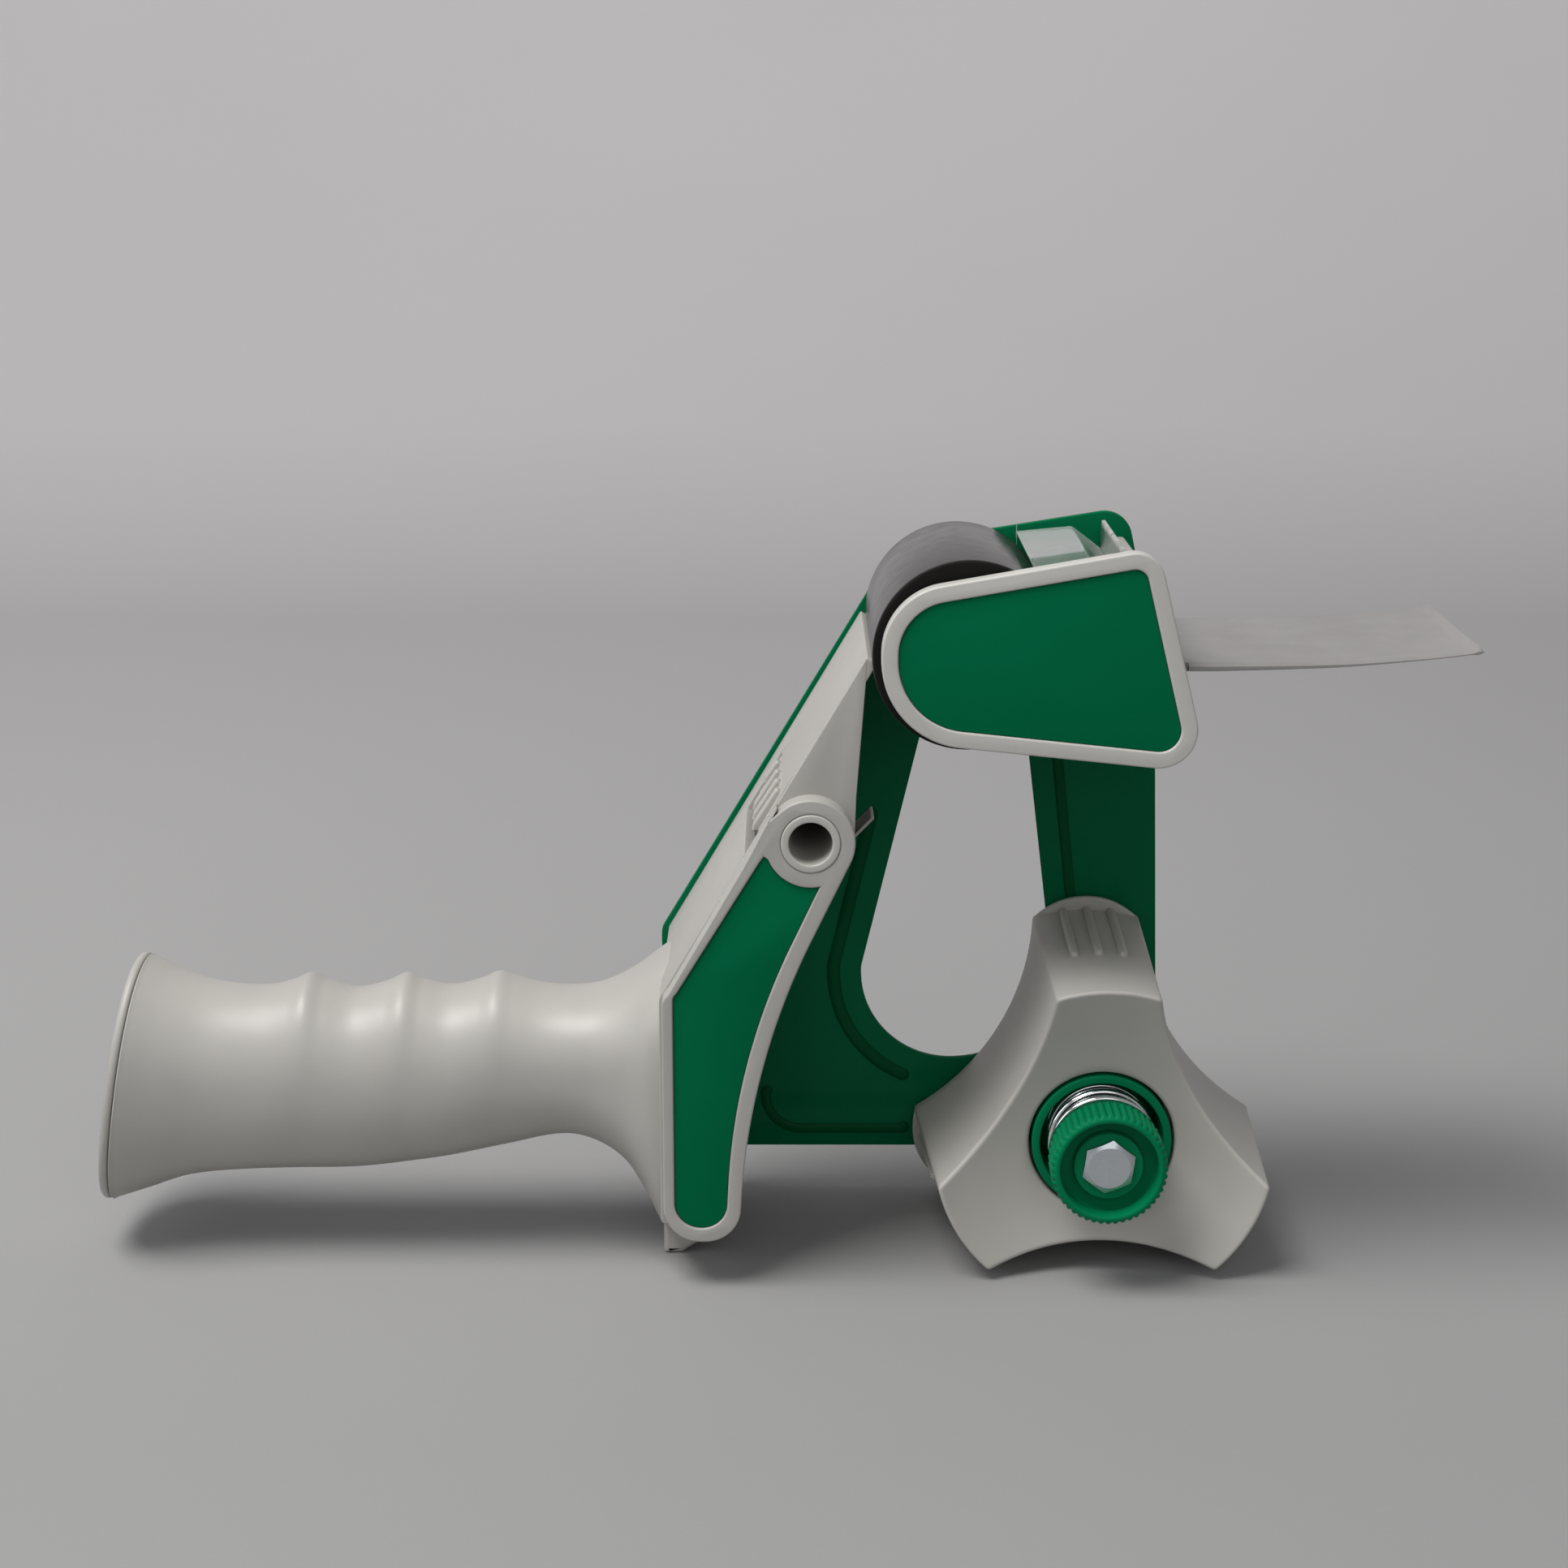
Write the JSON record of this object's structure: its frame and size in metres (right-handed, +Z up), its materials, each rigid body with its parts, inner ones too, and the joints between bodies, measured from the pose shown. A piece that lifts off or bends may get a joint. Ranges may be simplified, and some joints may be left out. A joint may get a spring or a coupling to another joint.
{
  "type": "tape gun dispenser",
  "caption": "Hand-held carton tape dispenser: pistol grip, pressed side plate with tear-drop opening, roller head with blade and flap, and a three-lobed tape hub with knob brake",
  "frame": {"origin": "middle of the bounding box footprint, on the floor the tool stands on", "axes": "X from grip to wiper flap, Y from the open side to the plate side, Z up; all spindles run along Y"},
  "size_m": [0.284, 0.068, 0.1546],
  "materials": {
    "green_steel": "gloss",
    "grey_moulding": "satin",
    "hub_moulding": "satin",
    "green_plastic": "satin",
    "black_rubber": "smooth",
    "black_plastic": "matte",
    "zinc_steel": "zinc plated",
    "bright_steel": "bright",
    "blade_steel": "ground",
    "flap_plastic": "translucent satin",
    "clear_plastic": "clear film",
    "fibre": "matte"
  },
  "bodies": {
    "frame": {"side_plate": "green_steel", "arm_body": "grey_moulding", "grip": "grey_moulding", "grip_end_cap": "grey_moulding", "handle_inlay": "green_plastic", "pivot_tube": "grey_moulding", "handle_screws": "zinc_steel", "head_screws": "zinc_steel", "head_cover": "grey_moulding", "head_inlay": "green_plastic", "head_bridge": "grey_moulding", "cutting_blade": "blade_steel", "tape_guide": "clear_plastic", "blade_screws": "zinc_steel", "wiper_root": "flap_plastic", "roller_axle": "zinc_steel", "roller_nut": "zinc_steel", "hub_sleeve": "black_plastic", "friction_washer": "fibre", "hub_nut": "zinc_steel", "brake_spring": "zinc_steel"},
    "roller": {"roller_core": "black_plastic", "roller_tyre": "black_rubber"},
    "hub": {"tape_hub": "hub_moulding", "hub_cup": "green_plastic", "tension_spring": "bright_steel"},
    "seat": {"tension_washer": "bright_steel"},
    "knob": {"tension_knob": "green_plastic", "hub_bolt": "zinc_steel"},
    "brake": {"brake_lever": "grey_moulding", "brake_strip": "blade_steel"},
    "flap": {"wiper_flap": "flap_plastic"}
  },
  "joints": [
    {"name": "roller_spin", "type": "hinge", "parent": "frame", "child": "roller", "pos_m": [0.0402, 0, 0.1333], "axis": [0, 1, 0], "continuous": true},
    {"name": "hub_spin", "type": "hinge", "parent": "frame", "child": "hub", "pos_m": [0.07, 0, 0.0284], "axis": [0, 1, 0], "continuous": true},
    {"name": "tension_slide", "type": "slide", "parent": "frame", "child": "seat", "axis": [0, 1, 0], "range_m": [-0.003, 0.002], "deforming": ["tension_spring"]},
    {"name": "knob_turn", "type": "hinge", "parent": "seat", "child": "knob", "pos_m": [0.07, 0, 0.0284], "axis": [0, 1, 0], "range_deg": [-1090, 730]},
    {"name": "brake_press", "type": "hinge", "parent": "frame", "child": "brake", "pos_m": [0.009, 0, 0.0956], "axis": [0, -1, 0], "range_deg": [0, 10], "stiffness_Nm_per_rad": 0.08, "springref_deg": -11.46, "deforming": ["brake_spring"]},
    {"name": "wiper_flex", "type": "hinge", "parent": "frame", "child": "flap", "pos_m": [0.0846, 0, 0.1309], "axis": [0, -1, 0], "range_deg": [-15, 15], "stiffness_Nm_per_rad": 0.2}
  ],
  "couplings": [
    {"joint": "knob_turn", "follows": "tension_slide", "rad_per_m": 6283.2}
  ]
}
